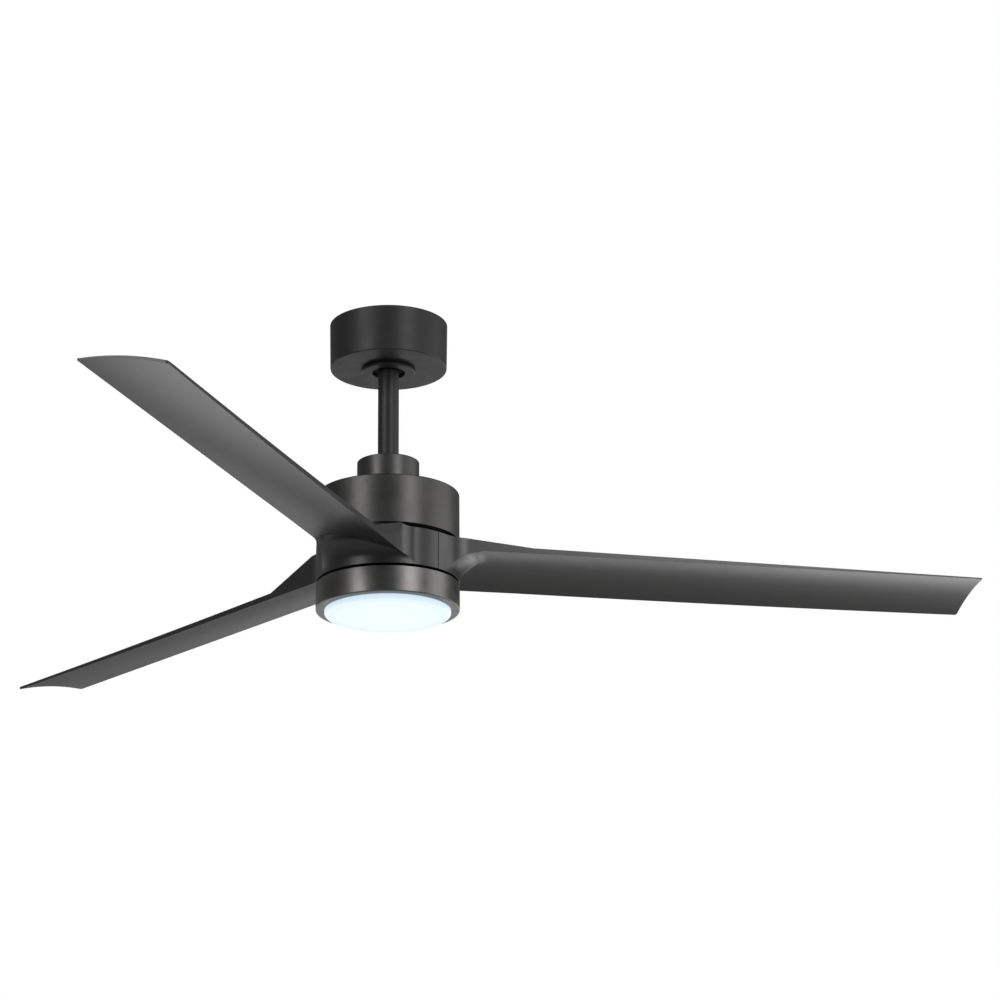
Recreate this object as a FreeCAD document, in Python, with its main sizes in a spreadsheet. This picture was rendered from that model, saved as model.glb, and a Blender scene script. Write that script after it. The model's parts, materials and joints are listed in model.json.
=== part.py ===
import FreeCAD, Part
import math
import os
import re
import Sketcher
from FreeCAD import Placement, Rotation, Vector

# Ceiling fan with light.  Millimetres, +Z up.  The origin is the middle of the bracket's top
# face, in the plane of the ceiling, and everything hangs below it: a "depth" is a distance
# down from the ceiling.  The fan's axis is Z and blade 1 points along +X.

SIZES = {
    # hanging bracket and canopy
    "bracket_length": 124, "bracket_width": 36, "bracket_gauge": 2.5,
    "box_screw_spacing": 89, "box_slot_length": 14, "box_slot_radius": 2.6, "wire_hole_radius": 10,
    "leg_reach": 35.5, "leg_width": 30, "bracket_foot_reach": 22.8, "foot_hole_radius": 2.1,
    "canopy_radius": 75, "canopy_foot_radius": 74.1, "canopy_depth": 59, "canopy_wall": 1.2,
    "canopy_hole_radius": 22, "canopy_edge": 0.9, "canopy_screw_reach": 27.5,
    "canopy_screw_hole": 2.4,
    "trim_radius": 34, "trim_hole_radius": 21, "trim_depth": 64, "trim_edge": 0.8,
    "trim_wall": 2, "trim_recess": 3.2,
    "receiver_long": 52, "receiver_deep": 34, "receiver_thick": 22, "receiver_top": 8,
    "receiver_corner": 2.5,
    # ball and socket
    "ball_depth": 32, "ball_radius": 25, "ball_top_rise": 15, "ball_foot_drop": 19,
    "liner_inner": 25.05, "liner_outer": 26.55, "seat_inner": 26.6, "seat_outer": 29.1,
    "liner_top_drop": 1.4, "liner_foot_drop": 15.6, "seat_top_drop": 1, "seat_foot_drop": 17,
    "seat_rim_drop": 3.5,
    # rod and coupling
    "rod_radius": 13.25, "rod_wall": 1.8, "rod_top": 19, "rod_foot": 214, "rod_fit": 13.3,
    "pin_radius": 3, "ball_pin_depth": 27, "ball_pin_length": 44, "yoke_pin_depth": 204,
    "yoke_pin_length": 48, "pin_head_thick": 2.5, "clip_reach": 21.5, "clip_wire": 0.75,
    "clip_hole_radius": 0.8,
    "yoke_radius": 18.5, "yoke_top": 196, "yoke_flange_radius": 34, "yoke_flange_top": 222.7,
    "flange_screw_reach": 27, "flange_hole_radius": 2, "set_screw_radius": 2.5,
    "set_screw_proud": 2, "cover_radius": 39.2, "cover_top": 184.8, "cover_wall": 1.5,
    "cover_edge": 0.9, "cover_play": 0.6,
    "light_wire_reach": 3.2, "light_wire_radius": 1.1, "rod_wire_reach": 7.5,
    "rod_wire_radius": 1.4, "rod_wire_top": 32, "rod_wire_foot": 200,
    # stationary housings
    "shell_radius": 89.6, "housing_top": 228.7, "housing_foot": 291.2, "housing_wall": 1.6,
    "housing_roof": 2.5, "shell_edge": 1.2,
    "light_top": 346.6, "light_foot": 379.4, "light_wall": 1.5, "lip_radius": 79.2,
    "lens_radius": 78.7, "lens_corner": 4, "lens_rim_foot": 385.5, "lens_rise": 2,
    "lens_wall": 2, "lens_flange_radius": 86, "light_hole": 30, "light_screw_reach": 48,
    "light_screw_hole": 1.75, "light_plate_radius": 58, "light_plate_thick": 2.5,
    "nut_reach": 14, "nut_thick": 6,
    "tray_top": 364.5, "tray_gauge": 1.5, "tray_hole": 6, "board_radius": 70, "board_gauge": 1.6,
    "board_hole": 7, "chip_length": 3.5, "chip_width": 2.8, "chip_thick": 0.7,
    "driver_length": 56, "driver_width": 34, "driver_thick": 12, "driver_start": 18,
    # shaft and motor
    "shaft_radius": 8.5, "shaft_bore": 5, "shaft_top": 217, "shaft_foot": 358,
    "collar_radius": 12.5, "collar_thick": 3.5,
    "bearing_bore": 8.53, "bearing_radius": 20, "bearing_width": 12,
    "shield_inner": 11.5, "shield_outer": 17, "shield_recess": 0.6,
    "upper_bearing_top": 240, "lower_bearing_top": 284,
    "case_radius": 78, "case_wall": 3, "case_flange_radius": 83, "case_foot": 288,
    "case_bore": 15, "boss_radius": 24, "boss_lip": 2, "case_screw_reach": 80.6,
    "case_screw_hole": 1.5, "case_vent_radius": 6, "case_vent_reach": 50,
    "magnet_bore": 70, "magnet_overhang": 3,
    "stator_radius": 69.2, "stator_hub_radius": 32, "hub_neck_radius": 13,
    "hub_rim_inset": 4, "hub_hole_radius": 5, "core_top": 256,
    "core_height": 22, "tooth_width": 9, "tooth_root": 42, "shoe_half": 13.5,
    "shoe_neck": 5, "shoe_thick": 2, "shoe_relief": 1.4, "coil_thick": 2.6,
    # rotating ring and blades
    "ring_top": 296.1, "ring_foot": 343.6, "ring_wall": 5.6, "seam_gap": 0.5,
    "seam_lead": 55.5, "web_top": 304, "web_thick": 6, "web_bore": 46,
    "plate_bore": 24.5, "plate_radius": 76, "plate_step_radius": 40, "plate_step": 7,
    "hub_screw_reach": 32.5, "hub_screw_hole": 2, "web_screw_reach": 60, "web_screw_start": 4.5,
    "web_screw_radius": 2.5,
    "blade_tip": 762, "high_edge": 54, "low_edge": 50.5, "gusset_end": 175,
    "camber": 6.5, "tip_camber": 4.5, "edge_sag": 1.2, "tip_corner": 3, "high_sweep": 50,
    "low_sweep": 34, "skirt_sweep": 30,
    "high_root_top": 304.8, "high_root_foot": 311.4, "high_tip_top": 313, "high_tip_foot": 314.5,
    "low_root_top": 325.4, "low_root_foot": 333, "low_tip_top": 329, "low_tip_foot": 332.5,
}
BLADES = 3
TEETH = 12
LED_RINGS = ((22, 6), (42, 12), (62, 18))

os.makedirs("parts", exist_ok=True)
doc = FreeCAD.newDocument("ceiling_fan_with_light")

sheet = doc.addObject("Spreadsheet::Sheet", "Sizes")
for row, (alias, value) in enumerate(SIZES.items(), start=1):
    sheet.set(f"A{row}", alias)
    sheet.set(f"B{row}", str(value))
    sheet.setAlias(f"B{row}", alias)
doc.recompute()

nodes = []


# ---------------------------------------------------------------- helpers

def size(alias):
    """A driving dimension, read from the sheet."""
    return float(sheet.get(alias))


def bound(formula):
    """A formula of aliases, such as 'rod_radius - rod_wall', as the sheet's expression."""
    return re.sub(r"[a-z]+(?:_[a-z]+)+", r"Sizes.\g<0>", str(formula))


def amount(obj, formula):
    """The present value of a formula of aliases."""
    value = obj.evalExpression(bound(formula))
    return float(getattr(value, "Value", value))


def bind(obj, **formulas):
    """Bind properties to formulas; a double underscore stands for a dot."""
    for path, formula in formulas.items():
        obj.setExpression(path.replace("__", "."), bound(formula))


def node(obj, name):
    """Name a finished sub-part and list it for export."""
    obj.Label = name
    nodes.append(obj)
    return obj


def body(name):
    """A body listed as a sub-part; it may hold several like solids."""
    made = doc.addObject("PartDesign::Body", name)
    made.AllowCompound = True
    return node(made, name)


def origin_feature(owner, role):
    return [part for part in owner.Origin.OriginFeatures if part.Role == role][0]


def sketch_on(owner, role, lift="0"):
    """A sketch on one of the body's own origin planes, lifted along the plane's normal."""
    sketch = owner.newObject("Sketcher::SketchObject", f"{owner.Name}_sketch")
    sketch.AttachmentSupport = [(origin_feature(owner, role), "")]
    sketch.MapMode = "FlatFace"
    sketch.setExpression("AttachmentOffset.Base.z", bound(lift))
    return sketch


def fix_point(sketch, geometry, end, across, up):
    """Hold a point of the sketch at two formulas measured from its origin."""
    for kind, formula in (("DistanceX", across), ("DistanceY", up)):
        target = amount(sketch, formula)
        index = sketch.addConstraint(Sketcher.Constraint(kind, -1, 1, geometry, end, target))
        sketch.setExpression(f"Constraints[{index}]", bound(formula))


def outline(sketch, corners, arcs=None):
    """A closed outline through corners given as (across, up) formulas.

    arcs maps a corner's number to (radius formula, side) of the arc that leaves it.  The side
    is +1 where the arc bulges to the left of its travel and -1 where it bulges to the right."""
    arcs = arcs or {}
    points = [Vector(amount(sketch, across), amount(sketch, up), 0) for across, up in corners]
    first = sketch.GeometryCount
    count = len(points)
    for number, start in enumerate(points):
        finish = points[(number + 1) % count]
        if number in arcs:
            formula, side = arcs[number]
            radius = amount(sketch, formula)
            chord = finish - start
            sagitta = radius - math.sqrt(radius ** 2 - (chord.Length / 2) ** 2)
            left = Vector(-chord.y, chord.x, 0).normalize()
            middle = (start + finish) * 0.5 + left * (side * sagitta)
            sketch.addGeometry(Part.Arc(start, middle, finish), False)
        else:
            sketch.addGeometry(Part.LineSegment(start, finish), False)
    for number, (across, up) in enumerate(corners):
        here = first + number
        following = first + (number + 1) % count
        # an arc is stored counter-clockwise, so one that bulges right runs start to end
        ends = {1: (2, 1), -1: (1, 2)}
        leave = ends[arcs[number][1]] if number in arcs else (1, 2)
        next_number = (number + 1) % count
        arrive = ends[arcs[next_number][1]] if next_number in arcs else (1, 2)
        sketch.addConstraint(Sketcher.Constraint("Coincident", here, leave[1], following, arrive[0]))
        fix_point(sketch, here, leave[0], across, up)
        if number in arcs:
            radius = amount(sketch, arcs[number][0])
            index = sketch.addConstraint(Sketcher.Constraint("Radius", here, radius))
            sketch.setExpression(f"Constraints[{index}]", bound(arcs[number][0]))


def turn(owner, profile, arcs=None):
    """Add a turned solid: profile corners are (radius, depth) formulas."""
    sketch = sketch_on(owner, "XZ_Plane")
    outline(sketch, [(radius, f"-({depth})") for radius, depth in profile], arcs)
    solid = owner.newObject("PartDesign::Revolution", f"{owner.Name}_turned")
    solid.Profile = sketch
    solid.ReferenceAxis = (sketch, ["V_Axis"])
    solid.Angle = 360
    doc.recompute()
    return solid


def turned(name, profile, arcs=None):
    made = body(name)
    turn(made, profile, arcs)
    return made


def circles(sketch, radius, reach, count, start=0.0):
    """Equal circles spaced round a pitch circle, from a start angle in degrees."""
    for number in range(count):
        angle = start + 360.0 * number / count
        across = f"({reach}) * cos({angle})"
        up = f"({reach}) * sin({angle})"
        centre = Vector(amount(sketch, across), amount(sketch, up), 0)
        circle = Part.Circle(centre, Vector(0, 0, 1), amount(sketch, radius))
        index = sketch.addGeometry(circle, False)
        held = sketch.addConstraint(Sketcher.Constraint("Radius", index, amount(sketch, radius)))
        sketch.setExpression(f"Constraints[{held}]", bound(radius))
        fix_point(sketch, index, 3, across, up)


def cut_down(owner, sketch, length):
    """Pocket a sketch downwards from its own plane, and make sure that it cut something."""
    doc.recompute()
    before = owner.Shape.Volume
    pocket = owner.newObject("PartDesign::Pocket", f"{owner.Name}_pocket")
    pocket.Profile = sketch
    bind(pocket, Length=length)
    doc.recompute()
    if owner.Shape.Volume >= before:
        raise RuntimeError(f"{owner.Label}: a pocket cut nothing")
    return pocket


def drill(owner, depth, length, radius, reach, count, start=0.0):
    """Round holes down from a depth, on a pitch circle."""
    sketch = sketch_on(owner, "XY_Plane", f"-({depth})")
    circles(sketch, radius, reach, count, start)
    return cut_down(owner, sketch, length)


def drill_across(owner, role, depth, radius):
    """A hole right through the body, square to its axis, at a depth."""
    sketch = sketch_on(owner, role)
    index = sketch.addGeometry(Part.Circle(Vector(0, 0, 0), Vector(0, 0, 1), size(radius)), False)
    held = sketch.addConstraint(Sketcher.Constraint("Radius", index, size(radius)))
    sketch.setExpression(f"Constraints[{held}]", bound(radius))
    fix_point(sketch, index, 3, "0", f"-({depth})")
    doc.recompute()
    before = owner.Shape.Volume
    pocket = owner.newObject("PartDesign::Pocket", f"{owner.Name}_cross_hole")
    pocket.Profile = sketch
    pocket.Midplane = True
    pocket.Type = "ThroughAll"
    doc.recompute()
    if owner.Shape.Volume >= before:
        raise RuntimeError(f"{owner.Label}: a cross hole cut nothing")


def round_edges(owner, wanted, radius):
    """Round the circular edges at the wanted (radius, depth) places."""
    base = owner.Tip
    names = []
    for number, edge in enumerate(base.Shape.Edges, start=1):
        if not isinstance(edge.Curve, Part.Circle):
            continue
        for reach, depth in wanted:
            near = abs(edge.Curve.Radius - size(reach)) < 0.01
            if near and abs(edge.Curve.Center.z + size(depth)) < 0.01:
                names.append(f"Edge{number}")
    fillet = owner.newObject("PartDesign::Fillet", f"{owner.Name}_rounded")
    fillet.Base = (base, sorted(set(names)))
    bind(fillet, Radius=radius)
    doc.recompute()


def screws(name, count, reach, start, head, shank, upwards=True):
    """A ring of pan-head screws.

    head is (radius, thickness) and shank is (radius, length); the heads sit under the depth
    where each shank starts.  With upwards False the screws point down."""
    made = body(name)
    made.Placement = Placement(Vector(), Rotation(Vector(0, 0, 1), start))
    sign = 1 if upwards else -1
    head_radius, head_thick, seat = head
    shank_radius, shank_long = shank
    under = -seat - sign * head_thick
    tip = -seat + sign * shank_long
    sketch = sketch_on(made, "XZ_Plane")
    sketch.AttachmentOffset = Placement(Vector(reach, 0, 0), Rotation())
    slot = 0.35 * head_thick
    outline(sketch, [(0, under + sign * slot), (head_radius * 0.35, under + sign * slot),
                     (head_radius * 0.5, under), (head_radius * 0.75, under),
                     (head_radius, under + sign * slot), (head_radius, -seat),
                     (shank_radius, -seat), (shank_radius, tip - sign * 0.4),
                     (shank_radius - 0.4, tip), (0, tip)])
    solid = made.newObject("PartDesign::Revolution", f"{name}_screw")
    solid.Profile = sketch
    solid.ReferenceAxis = (sketch, ["V_Axis"])
    solid.Angle = 360
    doc.recompute()
    pattern = made.newObject("PartDesign::PolarPattern", f"{name}_pattern")
    pattern.Originals = [solid]
    pattern.Axis = (origin_feature(made, "Z_Axis"), [""])
    pattern.Angle = 360
    pattern.Occurrences = count
    made.Tip = pattern
    doc.recompute()
    return made


def primitive(kind, name, place=None, **formulas):
    """A Part primitive bound to the sheet; place holds formulas for x, y and z."""
    made = doc.addObject(f"Part::{kind}", name)
    bind(made, **formulas)
    for axis, formula in zip("xyz", place or ()):
        made.setExpression(f"Placement.Base.{axis}", bound(formula))
    return made


def fuse(name, *shapes):
    made = doc.addObject("Part::MultiFuse", name)
    made.Shapes = list(shapes)
    return made


def cut(name, base, tool):
    made = doc.addObject("Part::Cut", name)
    made.Base = base
    made.Tool = tool
    return made


def group(name, *links):
    """Separate like solids kept in one node."""
    made = doc.addObject("Part::Compound", name)
    made.Links = list(links)
    return node(made, name)


def feature(name, shape, placement=None):
    """A sub-part whose shape is worked out below."""
    made = doc.addObject("Part::Feature", name)
    made.Shape = shape
    made.Placement = placement or Placement()
    return node(made, name)


def about_z(angle):
    return Placement(Vector(), Rotation(Vector(0, 0, 1), angle))


def lying_cylinder(name, axis, radius, centre, length):
    """A Part::Cylinder lying along X or Y; centre and length are formulas."""
    turn_to = {"x": Rotation(Vector(0, 1, 0), 90), "y": Rotation(Vector(1, 0, 0), -90)}[axis]
    made = doc.addObject("Part::Cylinder", name)
    made.Placement = Placement(Vector(), turn_to)
    bind(made, Radius=radius, Height=length)
    made.setExpression(f"Placement.Base.{axis}", bound(f"({centre[0]}) - ({length}) / 2"))
    made.setExpression("Placement.Base.z", bound(f"-({centre[1]})"))
    return made


# ---------------------------------------------------------------- ceiling mount

def mounting_bracket():
    """Folded steel hanger: a slotted bar on the ceiling box, two legs and the ball's seat."""
    bar = primitive("Box", "bracket_bar",
                    ("-bracket_length / 2", "-bracket_width / 2", "-bracket_gauge"),
                    Length="bracket_length", Width="bracket_width", Height="bracket_gauge")
    legs = []
    for side, leg_x, foot_x in ((1, "leg_reach - bracket_gauge", "bracket_foot_reach"),
                                (-1, "-leg_reach", "-leg_reach")):
        legs.append(primitive("Box", f"bracket_leg_{side}", (leg_x, "-leg_width / 2",
                                                            "canopy_wall - canopy_depth"),
                              Length="bracket_gauge", Width="leg_width",
                              Height="canopy_depth - canopy_wall"))
        legs.append(primitive("Box", f"bracket_foot_{side}", (foot_x, "-leg_width / 2",
                                                             "canopy_wall - canopy_depth"),
                              Length="leg_reach - bracket_foot_reach", Width="leg_width",
                              Height="bracket_gauge"))
    seat = primitive("Sphere", "seat_ball", ("0", "0", "-ball_depth"), Radius="seat_outer",
                     Angle1="-asin(seat_foot_drop / seat_outer)",
                     Angle2="-asin(seat_top_drop / seat_outer)")
    rim = primitive("Cylinder", "seat_rim", ("0", "0", "-ball_depth - seat_rim_drop"),
                    Radius="leg_reach", Height="bracket_gauge")
    whole = fuse("bracket_blank", bar, *legs, seat, rim)
    tools = [primitive("Sphere", "seat_hollow", ("0", "0", "-ball_depth"), Radius="seat_inner"),
             primitive("Cylinder", "bracket_wire_hole", ("0", "0", "-2 * bracket_gauge"),
                       Radius="wire_hole_radius", Height="3 * bracket_gauge")]
    for side in (1, -1):
        middle = f"{side} * box_screw_spacing / 2"
        straight = "(box_slot_length / 2 - box_slot_radius)"
        depth = {"Height": "3 * bracket_gauge"}
        tools.append(primitive("Box", f"slot_{side}", (f"{middle} - {straight}", "-box_slot_radius",
                                                      "-2 * bracket_gauge"),
                               Length=f"2 * {straight}", Width="2 * box_slot_radius", **depth))
        for end in (1, -1):
            tools.append(primitive("Cylinder", f"slot_end_{side}_{end}",
                                   (f"{middle} + {end} * {straight}", "0", "-2 * bracket_gauge"),
                                   Radius="box_slot_radius", **depth))
        tools.append(primitive("Cylinder", f"foot_hole_{side}",
                               (f"{side} * canopy_screw_reach", "0", "-canopy_depth"),
                               Radius="foot_hole_radius", Height="3 * bracket_gauge"))
    node(cut("mounting_bracket", whole, fuse("bracket_holes", *tools)), "mounting_bracket")


def canopy():
    """Spun steel cup over the bracket, with a floor that the rod passes through."""
    made = turned("canopy", [
        ("canopy_radius - canopy_wall", 0), ("canopy_radius", 0),
        ("canopy_foot_radius", "canopy_depth"), ("canopy_hole_radius", "canopy_depth"),
        ("canopy_hole_radius", "canopy_depth - canopy_wall"),
        ("canopy_foot_radius - canopy_wall", "canopy_depth - canopy_wall")])
    round_edges(made, [("canopy_foot_radius", "canopy_depth")], "canopy_edge")
    drill(made, "canopy_depth - 2 * canopy_wall", "4 * canopy_wall", "canopy_screw_hole",
          "canopy_screw_reach", 2)


def canopy_trim():
    """Snap-on disc that hides the canopy's screws round the rod."""
    made = turned("canopy_trim", [
        ("trim_hole_radius", "canopy_depth"), ("trim_hole_radius", "trim_depth"),
        ("trim_radius", "trim_depth"), ("trim_radius", "canopy_depth"),
        ("trim_radius - trim_wall", "canopy_depth"),
        ("trim_radius - trim_wall", "canopy_depth + trim_recess"),
        ("trim_hole_radius + trim_wall", "canopy_depth + trim_recess"),
        ("trim_hole_radius + trim_wall", "canopy_depth")])
    round_edges(made, [("trim_radius", "trim_depth"), ("trim_hole_radius", "trim_depth")],
                "trim_edge")


def receiver_module():
    """Remote-control receiver on the outside of one bracket leg."""
    made = body("receiver_module")
    sketch = sketch_on(made, "XY_Plane", "-receiver_top - receiver_deep")
    near = "leg_reach"
    far = "leg_reach + receiver_thick"
    half = "receiver_long / 2"
    outline(sketch, [(near, f"-{half}"), (far, f"-{half}"), (far, half), (near, half)])
    pad = made.newObject("PartDesign::Pad", "receiver_box")
    pad.Profile = sketch
    bind(pad, Length="receiver_deep")
    doc.recompute()
    upright = [f"Edge{number}" for number, edge in enumerate(pad.Shape.Edges, start=1)
               if abs(edge.tangentAt(edge.FirstParameter).z) > 0.99]
    fillet = made.newObject("PartDesign::Fillet", "receiver_corners")
    fillet.Base = (pad, upright)
    bind(fillet, Radius="receiver_corner")
    doc.recompute()


# ---------------------------------------------------------------- ball, rod and coupling

def ball_zone(name, radius, top, foot):
    """A zone of a ball between two heights above its centre."""
    return primitive("Sphere", name, ("0", "0", "-ball_depth"), Radius=radius,
                     Angle1=f"asin(({foot}) / {radius})", Angle2=f"asin(({top}) / {radius})")


def ball_liner():
    """Nylon cup between the steel seat and the ball."""
    node(cut("ball_liner", ball_zone("liner_skin", "liner_outer", "-liner_top_drop", "-liner_foot_drop"),
             primitive("Sphere", "liner_hollow", ("0", "0", "-ball_depth"), Radius="liner_inner")),
         "ball_liner")


def hanger_ball():
    """Moulded ball with a bore for the rod and a cross hole for its pin."""
    bore = primitive("Cylinder", "ball_bore", ("0", "0", "-2 * ball_depth"),
                     Radius="rod_fit", Height="2 * ball_depth")
    pin_hole = lying_cylinder("ball_pin_hole", "y", "pin_radius", (0, "ball_pin_depth"),
                              "3 * ball_radius")
    ball = ball_zone("ball_blank", "ball_radius", "ball_top_rise", "-ball_foot_drop")
    node(cut("hanger_ball", ball, fuse("ball_tools", bore, pin_hole)), "hanger_ball")


def rod_pins():
    """Cross pins: one holds the ball on the rod, one with a head holds the rod in the yoke."""
    node(lying_cylinder("ball_pin", "y", "pin_radius", (0, "ball_pin_depth"),
                        "ball_pin_length"), "ball_pin")
    stem = lying_cylinder("yoke_pin_stem", "x", "pin_radius", (0, "yoke_pin_depth"),
                          "yoke_pin_length")
    head = lying_cylinder("yoke_pin_head", "x", "1.6 * pin_radius",
                          ("-(yoke_pin_length + pin_head_thick - 1) / 2", "yoke_pin_depth"),
                          "pin_head_thick")
    clip_hole = primitive("Cylinder", "clip_hole",
                          ("clip_reach", "0", "-yoke_pin_depth - 2 * pin_radius"),
                          Radius="clip_hole_radius", Height="4 * pin_radius")
    node(cut("yoke_pin", fuse("yoke_pin_blank", stem, head), clip_hole), "yoke_pin")


def hairpin_clip():
    """Spring clip through the free end of the yoke's pin: a straight leg and a bowed one."""
    reach = size("clip_reach")
    drop = size("yoke_pin_depth")
    loop = 3.6
    shoulder = -drop + 10
    foot = Vector(reach, 0, -drop - 12)
    start = Vector(reach, 0, shoulder)
    bend = Vector(reach, -loop, shoulder + loop)
    back = Vector(reach, -2 * loop, shoulder)
    free_end = Vector(reach, -1.2 * loop, -drop - 4)
    path = Part.Wire([Part.LineSegment(foot, start).toShape(),
                      Part.Arc(start, bend, back).toShape(),
                      Part.LineSegment(back, free_end).toShape()])
    ring = Part.Wire([Part.Circle(foot, Vector(0, 0, 1), size("clip_wire")).toShape()])
    feature("hairpin_clip", path.makePipeShell([ring], True, False, 2))


def downrod():
    """Steel tube, cross-drilled near both ends."""
    made = turned("downrod", [
        ("rod_radius - rod_wall", "rod_top"), ("rod_radius", "rod_top"),
        ("rod_radius", "rod_foot"), ("rod_radius - rod_wall", "rod_foot")])
    drill_across(made, "XZ_Plane", "ball_pin_depth", "pin_radius")
    drill_across(made, "YZ_Plane", "yoke_pin_depth", "pin_radius")


def lead_wires():
    """Supply wires in the rod, and the light's wires on down through the hollow shaft."""
    wires = []
    for number in range(BLADES):
        angle = 90 + 360.0 * number / BLADES
        wires.append(primitive("Cylinder", f"lead_wire_{number + 1}",
                               (f"light_wire_reach * cos({angle})",
                                f"light_wire_reach * sin({angle})", "-shaft_foot - 4"),
                               Radius="light_wire_radius", Height="shaft_foot - rod_foot + 8"))
        wires.append(primitive("Cylinder", f"rod_wire_{number + 1}",
                               (f"rod_wire_reach * cos({angle})",
                                f"rod_wire_reach * sin({angle})", "-rod_wire_foot"),
                               Radius="rod_wire_radius", Height="rod_wire_foot - rod_wire_top"))
    group("lead_wires", *wires)


def yoke():
    """Cast cup that takes the rod above and screws onto the motor's shaft below."""
    made = turned("yoke", [
        ("rod_fit", "yoke_top"), ("yoke_radius", "yoke_top"), ("yoke_radius", "yoke_flange_top"),
        ("yoke_flange_radius", "yoke_flange_top"), ("yoke_flange_radius", "housing_top"),
        ("shaft_radius", "housing_top"), ("shaft_radius", "shaft_top"),
        ("shaft_bore + 0.5", "shaft_top"), ("shaft_bore + 0.5", "rod_foot"),
        ("rod_fit", "rod_foot")])
    drill_across(made, "YZ_Plane", "yoke_pin_depth", "pin_radius")
    drill_across(made, "XZ_Plane", "yoke_pin_depth", "set_screw_radius")
    drill(made, "yoke_flange_top - 1", "12", "flange_hole_radius", "flange_screw_reach", 3, 90)


def yoke_set_screws():
    """Two headless screws that stop the rod rocking in the yoke."""
    length = "yoke_radius - rod_radius + set_screw_proud"
    middle = "(yoke_radius + rod_radius + set_screw_proud) / 2"
    pair = [lying_cylinder(f"set_screw_{side}", "y", "set_screw_radius",
                           (f"{side} * {middle}", "yoke_pin_depth"), length) for side in (1, -1)]
    group("yoke_set_screws", *pair)


def coupling_cover():
    """Sleeve that hides the yoke; it rests on the motor housing."""
    made = turned("coupling_cover", [
        ("rod_radius + cover_play", "cover_top"), ("cover_radius", "cover_top"),
        ("cover_radius", "housing_top"), ("cover_radius - cover_wall", "housing_top"),
        ("cover_radius - cover_wall", "cover_top + cover_wall"),
        ("rod_radius + cover_play", "cover_top + cover_wall")])
    round_edges(made, [("cover_radius", "cover_top")], "cover_edge")


# ---------------------------------------------------------------- stationary motor side

def motor_housing():
    """Drawn steel cup over the motor, clamped between the yoke and the shaft's collar."""
    made = turned("motor_housing", [
        ("shaft_radius", "housing_top"), ("shell_radius", "housing_top"),
        ("shell_radius", "housing_foot"), ("shell_radius - housing_wall", "housing_foot"),
        ("shell_radius - housing_wall", "housing_top + housing_roof"),
        ("shaft_radius", "housing_top + housing_roof")])
    round_edges(made, [("shell_radius", "housing_top")], "shell_edge")
    round_edges(made, [("shell_radius", "housing_foot")], "shell_edge / 2")
    drill(made, "housing_top - 1", "8", "flange_hole_radius", "flange_screw_reach", 3, 90)


def motor_shaft():
    """Hollow fixed shaft with a collar under the housing's roof."""
    collar = "housing_top + housing_roof"
    turned("motor_shaft", [
        ("shaft_bore", "shaft_top"), ("shaft_radius", "shaft_top"),
        ("shaft_radius", collar), ("collar_radius", collar),
        ("collar_radius", f"{collar} + collar_thick"),
        ("shaft_radius", f"{collar} + collar_thick"),
        ("shaft_radius", "shaft_foot"), ("shaft_bore", "shaft_foot")])


def stator_hub():
    """Spider between the shaft and the laminations."""
    made = turned("stator_hub", [
        ("shaft_radius", "core_top - 1"), ("hub_neck_radius", "core_top - 1"),
        ("hub_neck_radius", "core_top + hub_rim_inset"),
        ("stator_hub_radius", "core_top + hub_rim_inset"),
        ("stator_hub_radius", "core_top + core_height - hub_rim_inset"),
        ("hub_neck_radius", "core_top + core_height - hub_rim_inset"),
        ("hub_neck_radius", "core_top + core_height + 1"),
        ("shaft_radius", "core_top + core_height + 1")])
    drill(made, "core_top", "core_height + 2", "hub_hole_radius",
          "(stator_hub_radius + hub_neck_radius) / 2", 6)


def stator_core():
    """Laminated steel ring with shoe-ended teeth."""
    made = turned("stator_core", [
        ("stator_hub_radius", "core_top"), ("tooth_root", "core_top"),
        ("tooth_root", "core_top + core_height"), ("stator_hub_radius", "core_top + core_height")])
    sketch = sketch_on(made, "XY_Plane", "-core_top - core_height")
    half = "tooth_width / 2"
    root = "tooth_root - 1.5"
    neck = "stator_radius - shoe_neck"
    face = "stator_radius - shoe_relief"
    outline(sketch, [
        (root, f"-{half}"), (neck, f"-{half}"),
        (f"{face} - shoe_thick", "-shoe_half"), (face, "-shoe_half"),
        (face, "shoe_half"), (f"{face} - shoe_thick", "shoe_half"),
        (neck, half), (root, half)],
        {3: ("stator_radius", -1)})
    tooth = made.newObject("PartDesign::Pad", "stator_tooth")
    tooth.Profile = sketch
    bind(tooth, Length="core_height")
    doc.recompute()
    pattern = made.newObject("PartDesign::PolarPattern", "stator_teeth")
    pattern.Originals = [tooth]
    pattern.Axis = (origin_feature(made, "Z_Axis"), [""])
    pattern.Angle = 360
    pattern.Occurrences = TEETH
    made.Tip = pattern
    doc.recompute()


def stator_windings():
    """A copper coil round each tooth."""
    wide = size("tooth_width")
    tall = size("core_height")
    thick = size("coil_thick")
    inner = size("tooth_root") + 3
    outer = size("stator_radius") - 8
    foot = -size("core_top") - tall
    block = Part.makeBox(outer - inner, wide + 2 * thick, tall + 2 * thick,
                         Vector(inner, -wide / 2 - thick, foot - thick))
    window = Part.makeBox(outer - inner + 2, wide + 0.2, tall + 0.2,
                          Vector(inner - 1, -wide / 2 - 0.1, foot - 0.1))
    upright = [edge for edge in block.Edges
               if abs(edge.tangentAt(edge.FirstParameter).x) > 0.99]
    coil = block.makeFillet(thick * 0.9, upright).cut(window)
    coils = [coil.rotated(Vector(), Vector(0, 0, 1), 360.0 * number / TEETH)
             for number in range(TEETH)]
    feature("stator_windings", Part.Compound(coils))


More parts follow.
